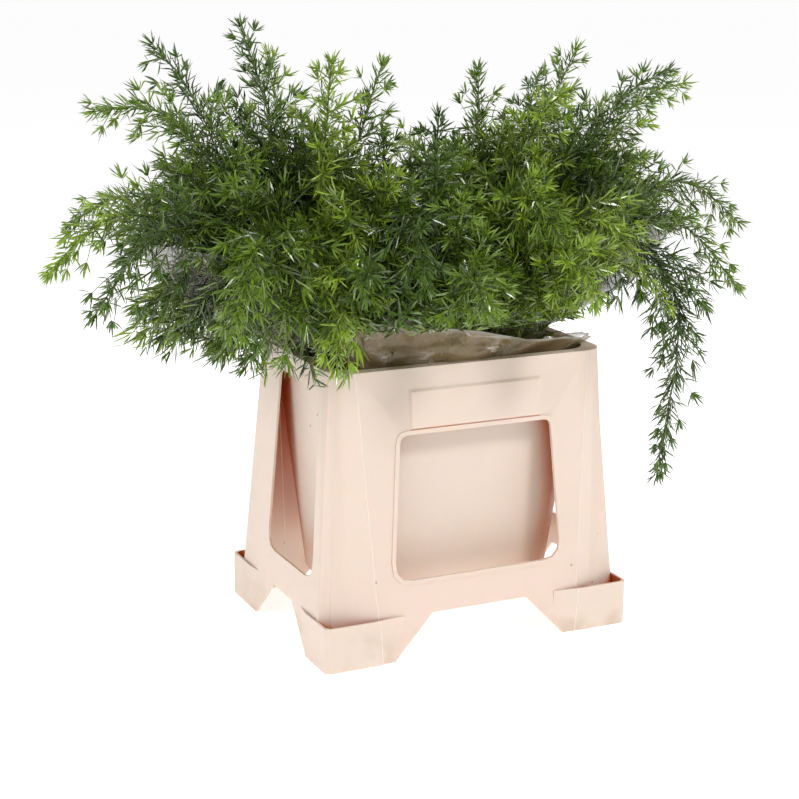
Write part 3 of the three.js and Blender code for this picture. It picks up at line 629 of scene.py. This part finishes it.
class Look:
    """A material in the making, with one method for its nodes."""

    def __init__(self, name):
        self.material = bpy.data.materials.new(name)
        self.material.use_nodes = True
        self.tree = self.material.node_tree
        self.tree.nodes.clear()

    def node(self, kind, settings=None, inputs=None):
        """Adds a node. Its settings come first, with a ramp's stops as (place, colour) pairs, and then a
        value or a link for each socket, by number or name. Gives its outputs, by number or name."""
        node = self.tree.nodes.new(kind)
        for key, value in (settings or {}).items():
            if key == "stops":
                elements = node.color_ramp.elements
                while len(elements) < len(value):
                    elements.new(0.5)
                for element, (place, colour) in zip(elements, value):
                    element.position, element.color = place, (*colour, 1)
            else:
                setattr(node, key, value)
        for key, value in (inputs or {}).items():
            socket = node.inputs[key]
            if isinstance(value, Value):
                self.tree.links.new(value.socket, socket)
            elif isinstance(value, tuple) and len(value) == 3 and socket.type == "RGBA":
                socket.default_value = (*value, 1)
            else:
                socket.default_value = value
        return Outputs(self, node)

    def place(self):
        return self.node("ShaderNodeTexCoord")["Object"]

    def axes(self, place):
        parts = self.node("ShaderNodeSeparateXYZ", {}, {0: place})
        return parts[0], parts[1], parts[2]

    def stretched(self, place, scale):
        return self.node("ShaderNodeVectorMath", {"operation": "MULTIPLY"}, {0: place, 1: scale})[0]

    def noise(self, place, scale, detail=3.0, roughness=0.5):
        inputs = {"Vector": place, "Scale": scale, "Detail": detail, "Roughness": roughness}
        return self.node("ShaderNodeTexNoise", {}, inputs)[0]

    def spots(self, place, scale):
        return self.node("ShaderNodeTexVoronoi", {}, {"Vector": place, "Scale": scale})

    def band(self, value, low, high, to_low=0.0, to_high=1.0):
        """value from low to high as a number from to_low to to_high, held there at both ends."""
        inputs = {0: value, 1: low, 2: high, 3: to_low, 4: to_high}
        return self.node("ShaderNodeMapRange", {"interpolation_type": "SMOOTHSTEP"}, inputs)[0]

    def crease(self, place):
        """1 along the lines where the skirt's front and back faces meet their slanted corners, and 0 beside
        them."""
        x, y, z = self.axes(place)
        share = z / (RIM_Z * MM)
        line = CREASE_FLOOR[0] * MM + share * float((CREASE_RIM - CREASE_FLOOR)[0] * MM)
        across = (x - float(FOOT[0])).size()
        return self.band((across - line).size(), 0.0012, 0.0004)

    def blend(self, factor, a, b):
        return self.node("ShaderNodeMix", {"data_type": "RGBA"}, {0: factor, 6: a, 7: b})[2]

    def attribute(self, name):
        return self.node("ShaderNodeAttribute", {"attribute_name": name})["Fac"]

    def bump(self, height, distance, strength=1.0, normal=None):
        inputs = {"Height": height, "Distance": distance, "Strength": strength}
        if normal is not None:
            inputs["Normal"] = normal
        return self.node("ShaderNodeBump", {}, inputs)[0]

    def finish(self, inputs):
        surface = self.node("ShaderNodeBsdfPrincipled", {}, inputs)
        self.node("ShaderNodeOutputMaterial", {}, {"Surface": surface[0]})
        return self.material


class Outputs:
    def __init__(self, look, node):
        self.look, self.node = look, node

    def __getitem__(self, key):
        return Value(self.look, self.node.outputs[key])


def srgb(red, green, blue):
    """A colour as the eye reads it, 0 to 255, turned into the linear values of a shader."""
    shares = np.array([red, green, blue]) / 255
    return tuple(np.where(shares <= 0.04045, shares / 12.92, ((shares + 0.055) / 1.055) ** 2.4).tolist())


def leaf_look(name, dark, bright):
    """Glossy needles, dark green to yellow green by their freshness, on pale green wood."""
    look = Look(name)
    place = look.place()
    patches = look.noise(place, 9.0, 2.0)
    fresh = look.attribute("fresh") + (patches - 0.5) * 0.5
    colour = look.node("ShaderNodeValToRGB", {"stops": [
        (0.05, dark), (0.5, tuple(mix(np.array(dark), np.array(bright), 0.4))), (0.95, bright)]}, {0: fresh})[0]
    tip = look.band(look.attribute("along"), 0.75, 1.0)
    colour = look.blend(tip * 0.35, colour, srgb(150, 165, 80))
    colour = look.blend(look.attribute("wood") * 0.75, colour, srgb(96, 110, 52))
    rough = look.noise(place, 60.0, 1.0) * 0.2 + 0.16
    return look.finish({
        "Base Color": colour, "Roughness": rough, "Specular IOR Level": 1.0,
    })


def plastic_look():
    """Cream moulded plastic: faint mottling and flow lines, a few brown specks, scuffs and dust near the
    foot, with painted deep orange shade in its enclosed gaps and a painted highlight along its creases."""
    look = Look("cream_plastic")
    place = look.place()
    mottle = look.noise(place, 7.0, 4.0)
    colour = look.blend(mottle, srgb(230, 213, 201), srgb(223, 204, 188))
    flow = look.noise(look.stretched(place, (3.0, 3.0, 26.0)), 1.5, 3.0)
    colour = look.blend(look.band(flow, 0.55, 0.8) * 0.25, colour, srgb(228, 203, 176))
    height = look.axes(place)[2]
    grime = look.band(height, 0.06, 0.0) * look.band(look.noise(place, 22.0, 4.0), 0.42, 0.7)
    colour = look.blend(grime * 0.45, colour, srgb(176, 152, 120))
    cells = look.spots(place, 42.0)
    speck = look.band(cells["Distance"], 0.09, 0.04) * look.band(look.noise(place, 5.0, 1.0), 0.56, 0.6)
    colour = look.blend(speck * 0.7, colour, srgb(140, 96, 60))
    # Painted shade: where ambient occlusion within the bucket finds the plastic enclosed, as in the gaps between
    # skirt and tub, its colour turns deep orange
    openness = look.node("ShaderNodeAmbientOcclusion", {"samples": 8, "only_local": True}, {"Distance": 0.09})["AO"]
    colour = look.blend(look.band(openness, 0.55, 0.12), colour, srgb(198, 98, 20))
    crease = look.crease(place)
    # Painted highlight: a lighter line in the colour along each crease, besides its bump
    colour = look.blend(crease * 0.5, colour, srgb(250, 238, 224))
    scuffs = look.noise(look.stretched(place, (1.0, 1.0, 5.0)), 34.0, 5.0, 0.65)
    rough = look.band(scuffs, 0.35, 0.7, 0.36, 0.55)
    grain = look.noise(place, 900.0, 2.0)
    bump = look.bump(grain, 0.00006, 0.35)
    bump = look.bump(scuffs, 0.00025, 0.25, bump)
    bump = look.bump(crease, 0.0006, 0.8, bump)
    return look.finish({
        "Base Color": colour, "Roughness": rough, "Normal": bump,
        "Subsurface Weight": 0.35, "Subsurface Radius": (1.0, 0.42, 0.16), "Subsurface Scale": 0.006,
        "Specular IOR Level": 0.4,
    })


def film_look():
    """Thin clear film: a veil that thickens where it turns edge on, tan or grey, with painted highlights:
    whitish lines on its creases, hem and folds and whitish streaks, where the veil is also denser."""
    look = Look("clear_film")
    place = look.place()
    cloud = look.noise(look.stretched(place, (1.0, 1.0, 0.6)), 11.0, 3.0)
    facing = look.node("ShaderNodeLayerWeight", {}, {"Blend": 0.3})["Facing"]
    ridge = look.attribute("ridge")
    haze = look.band(cloud, 0.4, 0.7)
    colour = look.blend(look.attribute("warm"), srgb(136, 132, 142), srgb(184, 158, 112))
    colour = look.blend(haze * 0.4, colour, srgb(150, 128, 92))
    folds = look.noise(look.stretched(place, (1.0, 1.0, 2.6)), 13.0, 1.0)
    line = look.band((folds - 0.5).size(), 0.022, 0.004)
    painted_glint = look.band(look.noise(look.stretched(place, (1.0, 1.0, 3.4)), 24.0, 2.0), 0.66, 0.74)
    # Painted highlights: crease and hem lines, lines along the folds and stretched streaks turn whitish and make
    # the veil denser
    bright = look.band(ridge + 0.3 * line + 0.6 * painted_glint, 0.0, 1.0)
    colour = look.blend(bright, colour, srgb(240, 234, 224))
    alpha = look.attribute("veil") + 0.06 * haze + 0.2 * facing**2.0 + 0.35 * bright
    crumple = look.spots(look.stretched(place, (1.0, 1.0, 1.6)), 15.0)["Distance"]
    return look.finish({
        "Base Color": colour, "Roughness": 0.1, "Alpha": alpha, "Specular IOR Level": 1.0,
        "Normal": look.bump(folds, 0.03, 0.6, look.bump(crumple, 0.012, 0.5)),
    })


def band_look():
    """Matt, slightly dusty elastic."""
    look = Look("tie_band")
    place = look.place()
    dust = look.noise(place, 220.0, 3.0)
    colour = look.blend(dust, srgb(226, 220, 204), srgb(196, 188, 168))
    return look.finish({"Base Color": colour, "Roughness": 0.7, "Normal": look.bump(dust, 0.0003, 0.4)})


def water_look():
    """Still water, faintly green, with a slight swell."""
    look = Look("water")
    place = look.place()
    swell = look.noise(place, 18.0, 2.0)
    cloud = look.noise(place, 40.0, 3.0)
    colour = look.blend(cloud, srgb(150, 158, 130), srgb(122, 136, 112))
    return look.finish({
        "Base Color": colour, "Roughness": 0.06, "Alpha": 0.72, "Normal": look.bump(swell, 0.002, 0.5),
    })


def floor_look():
    look = Look("pale_floor")
    grain = look.noise(look.place(), 3.0, 2.0)
    colour = look.blend(grain, srgb(250, 250, 250), srgb(246, 246, 246))
    return look.finish({
        "Base Color": colour, "Roughness": 0.9, "Emission Color": (1.0, 1.0, 1.0), "Emission Strength": 0.64,
    })


# Pieces

def container_piece(material):
    """The bucket: a copy of its solid with doubles merged, flat facets joined and the edges rounded."""
    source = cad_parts["container"]
    mesh = source.data.copy()
    mesh.name = "container_moulding"
    shape = bmesh.new()
    shape.from_mesh(mesh)
    bmesh.ops.remove_doubles(shape, verts=shape.verts, dist=0.00002)
    bmesh.ops.dissolve_limit(shape, angle_limit=math.radians(0.6), verts=shape.verts, edges=shape.edges)
    shape.to_mesh(mesh)
    shape.free()
    mesh.materials.clear()
    mesh.materials.append(material)
    piece = bpy.data.objects.new("container_moulding", mesh)
    bpy.context.scene.collection.objects.link(piece)
    mesh.shade_smooth()
    mesh.set_sharp_from_angle(angle=math.radians(24))
    bevel = piece.modifiers.new("round edges", "BEVEL")
    bevel.width = 0.0011
    bevel.segments = 2
    bevel.limit_method = "ANGLE"
    bevel.angle_limit = math.radians(24)
    bevel.harden_normals = True
    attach(piece, "root")
    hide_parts("container")
    return piece


def smooth_rows(rows, heights):
    """The sleeve's rows at other heights, rounded where they bend, by a three-point mean of finer steps."""
    fine = np.linspace(rows[0, 0], rows[-1, 0], 121)
    table = np.stack([np.interp(fine, rows[:, 0], rows[:, column]) for column in range(1, 5)], 1)
    for _ in range(6):
        table[1:-1] = (table[:-2] + 2 * table[1:-1] + table[2:]) / 4
    return np.stack([np.interp(heights, fine, table[:, column]) for column in range(4)], 1)


def fold(x):
    """A sharp crease: 0 at whole numbers and 1 half way between."""
    return 1 - np.abs(2 * (x - np.floor(x)) - 1)


def sleeve_piece(name, rows, lip, seed, material, finish):
    """A film cone: an ellipse at each height, moved in and out by soft waves and sharp folds that grow
    towards the mouth, with an uneven lip."""
    sides, levels = 160, 44
    random = np.random.default_rng(seed)
    v = np.linspace(0, 1, levels)[:, None]
    a = (np.arange(sides) * TURN / sides)[None]
    z = mix(rows[0, 0], rows[-1, 0], v)
    cx, cy, hx, hy = (column[:, None] for column in smooth_rows(rows, z[:, 0]).T)
    phase = random.uniform(0, TURN, 8)
    drift = 0.35 * np.sin(2 * a + phase[0] + 3 * v) + 0.2 * np.sin(5 * a + phase[1] - 4 * v)
    waves = np.sin(5 * a + phase[2] + 2.5 * v) + 0.6 * np.sin(8 * a + phase[3] - 3 * v)
    creases = fold((9 * (a + drift)) / TURN + 0.6 * v) - 0.5
    small = fold((23 * (a + 0.5 * drift)) / TURN - 1.4 * v + phase[4]) - 0.5
    gathered = np.sin(22 * a) * (1 - v) ** 3
    growth = v**1.5
    swing = finish["pleat"] * (growth * (0.4 * waves + 1.1 * creases + 0.5 * small)) + 0.35 * gathered
    half = np.minimum(hx, hy)
    swing = np.clip(swing, -0.16 * half, 0.1 * half)
    x = cx + (hx + swing) * np.cos(a)
    y = cy + (hy + swing) * np.sin(a)
    edge = np.clip((v - 0.86) / 0.14, 0, 1)
    # Where the film's painted highlights go: along sharp creases, more towards the mouth, and round the hem
    sharp = np.clip(1 - np.abs(np.abs(creases) - 0.5) / 0.05, 0, 1) * growth
    hem = np.clip((v - 0.985) / 0.015, 0, 1)
    ridge = np.maximum(sharp * np.clip(waves, 0, 1), 0.8 * hem) + 0 * a
    raised = lip(a) + 5 * np.sin(3 * a + phase[5]) + 4 * (fold(7 * a / TURN + phase[6]) - 0.5)
    z = z + edge * raised + 0 * a
    skin = Skin()
    quads = rings_to_faces(levels, sides)[0]
    leftward = 0.5 - 0.5 * np.cos(a) + 0 * v
    warm, veil = (mix(*finish[key], leftward) for key in ("warm", "veil"))
    skin.add(np.stack([x, y, z], -1), [quads], ridge=ridge.ravel(), warm=warm.ravel(), veil=veil.ravel())
    piece = skin.make(f"{name}_film", material)
    solid = piece.modifiers.new("thickness", "SOLIDIFY")
    solid.thickness = 0.00025
    solid.offset = 0
    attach(piece, "root")
    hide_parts(name)
    return piece


def tie_piece(name, rows, material):
    """A soft band round a sleeve's neck: an oval section carried round the neck's ellipse."""
    sides, section = 72, 10
    _, cx, cy, hx, hy = rows[0]
    a = (np.arange(sides) * TURN / sides)[:, None]
    b = (np.arange(section) * TURN / section)[None]
    out = TIE["gap"] + TIE["thick"] * (0.5 - 0.5 * np.cos(b)) + 0 * a
    z = TIE["z"] + 0.5 * TIE["height"] * np.sin(b) * (1 + 0.08 * np.sin(9 * a)) + 0 * a
    points = np.stack([cx + (hx + out) * np.cos(a), cy + (hy + out) * np.sin(a), z], -1)
    ring, side = np.meshgrid(np.arange(sides), np.arange(section), indexing="ij")
    here, beside = ring * section + side, ring * section + (side + 1) % section
    ahead = ((ring + 1) % sides) * section
    quads = np.stack([here, ahead + side, ahead + (side + 1) % section, beside], -1).reshape(-1, 4)
    skin = Skin()
    skin.add(points, [quads])
    piece = skin.make(f"{name}_band", material)
    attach(piece, "root")
    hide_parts(name)
    return piece


def build_stems():
    tones = [
        ("leaf_dark", leaf_look("needles_dark", srgb(20, 38, 8), srgb(84, 116, 30))),
        ("leaf_mid", leaf_look("needles_mid", srgb(26, 46, 8), srgb(118, 150, 38))),
        ("leaf_light", leaf_look("needles_light", srgb(36, 60, 10), srgb(150, 180, 50))),
    ]
    number = 0
    for side, (shape, mirror, rings) in BUNCHES.items():
        at = 0
        for reach, tips in rings:
            for i, tip in enumerate(tips):
                at += 1
                line = main_line(shape, mirror, reach, i / len(tips) * TURN, tip)
                tone, material = tones[number % 3]
                name = f"leafy_stem_{side}_{at:02d}"
                drapes = reach == 1 and (side == "left" or tip[0][1] > 100)
                piece = stem_piece(name, line, number, material, reach, len(tip) > 1, drapes)
                number += 1


def build_floor():
    skin = Skin()
    size = 60000
    skin.add([[-size, -size, 0], [size, -size, 0], [size, size, 0], [-size, size, 0]], [[[0, 1, 2, 3]]])
    floor = skin.make("floor", floor_look())


def area_light(name, place, target, size, power):
    data = bpy.data.lights.new(name, "AREA")
    data.shape = "DISK"
    data.size = size
    data.energy = power
    light = bpy.data.objects.new(name, data)
    light.location = place
    light.rotation_euler = (Vector(target) - Vector(place)).to_track_quat("-Z", "Y").to_euler()
    bpy.context.scene.collection.objects.link(light)


def build_light():
    world = bpy.data.worlds.new("studio")
    world.use_nodes = True
    tree = world.node_tree
    back = tree.nodes["Background"]
    back.inputs["Color"].default_value = (1, 1, 1, 1)
    seen = tree.nodes.new("ShaderNodeLightPath")
    strength = tree.nodes.new("ShaderNodeMapRange")
    strength.inputs["To Min"].default_value = 0.36
    strength.inputs["To Max"].default_value = 1.05
    tree.links.new(seen.outputs["Is Camera Ray"], strength.inputs["Value"])
    tree.links.new(strength.outputs["Result"], back.inputs["Strength"])
    bpy.context.scene.world = world
    middle = (0, 0, 0.35)
    area_light("key", (0.7, -2.3, 2.6), middle, 0.8, 52)
    area_light("left", (-2.3, -0.2, 1.4), middle, 0.9, 17)
    area_light("back", (0.6, 2.0, 2.2), middle, 1.2, 18)


def build_camera():
    azimuth, elevation = math.radians(CAMERA["azimuth"]), math.radians(CAMERA["elevation"])
    back = Vector((
        math.sin(azimuth) * math.cos(elevation), -math.cos(azimuth) * math.cos(elevation), math.sin(elevation)))
    data = bpy.data.cameras.new("camera")
    data.sensor_width = 36.0
    data.lens = FOCAL_PX / IMAGE_PX * data.sensor_width
    data.shift_x = -MIDDLE_SHIFT_PX / IMAGE_PX
    data.clip_end = 200
    camera = bpy.data.objects.new("camera", data)
    camera.location = Vector(to_metres(CAMERA["look_at"])) + back * CAMERA["distance"] * MM
    turn = (-back).to_track_quat("-Z", "Y").to_matrix()
    roll = math.radians(CAMERA["roll"])
    right, up = turn.col[0].copy(), turn.col[1].copy()
    turn.col[0] = math.cos(roll) * right + math.sin(roll) * up
    turn.col[1] = math.cos(roll) * up - math.sin(roll) * right
    camera.rotation_euler = turn.to_euler()
    bpy.context.scene.collection.objects.link(camera)
    bpy.context.scene.camera = camera


build_camera()
build_floor()
build_light()
container_piece(plastic_look())
build_stems()
film = film_look()
for order, (side, (rows, lip)) in enumerate(SLEEVES.items()):
    sleeve_piece(f"sleeve_{side}", rows, lip, SEED + 900 + order, film, FILMS[side])
band = band_look()
for side, (rows, lip) in SLEEVES.items():
    tie_piece(f"tie_{side}", rows, band)
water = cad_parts["water"]
water.data.materials.clear()
water.data.materials.append(water_look())

bpy.context.scene.view_settings.view_transform = "Standard"
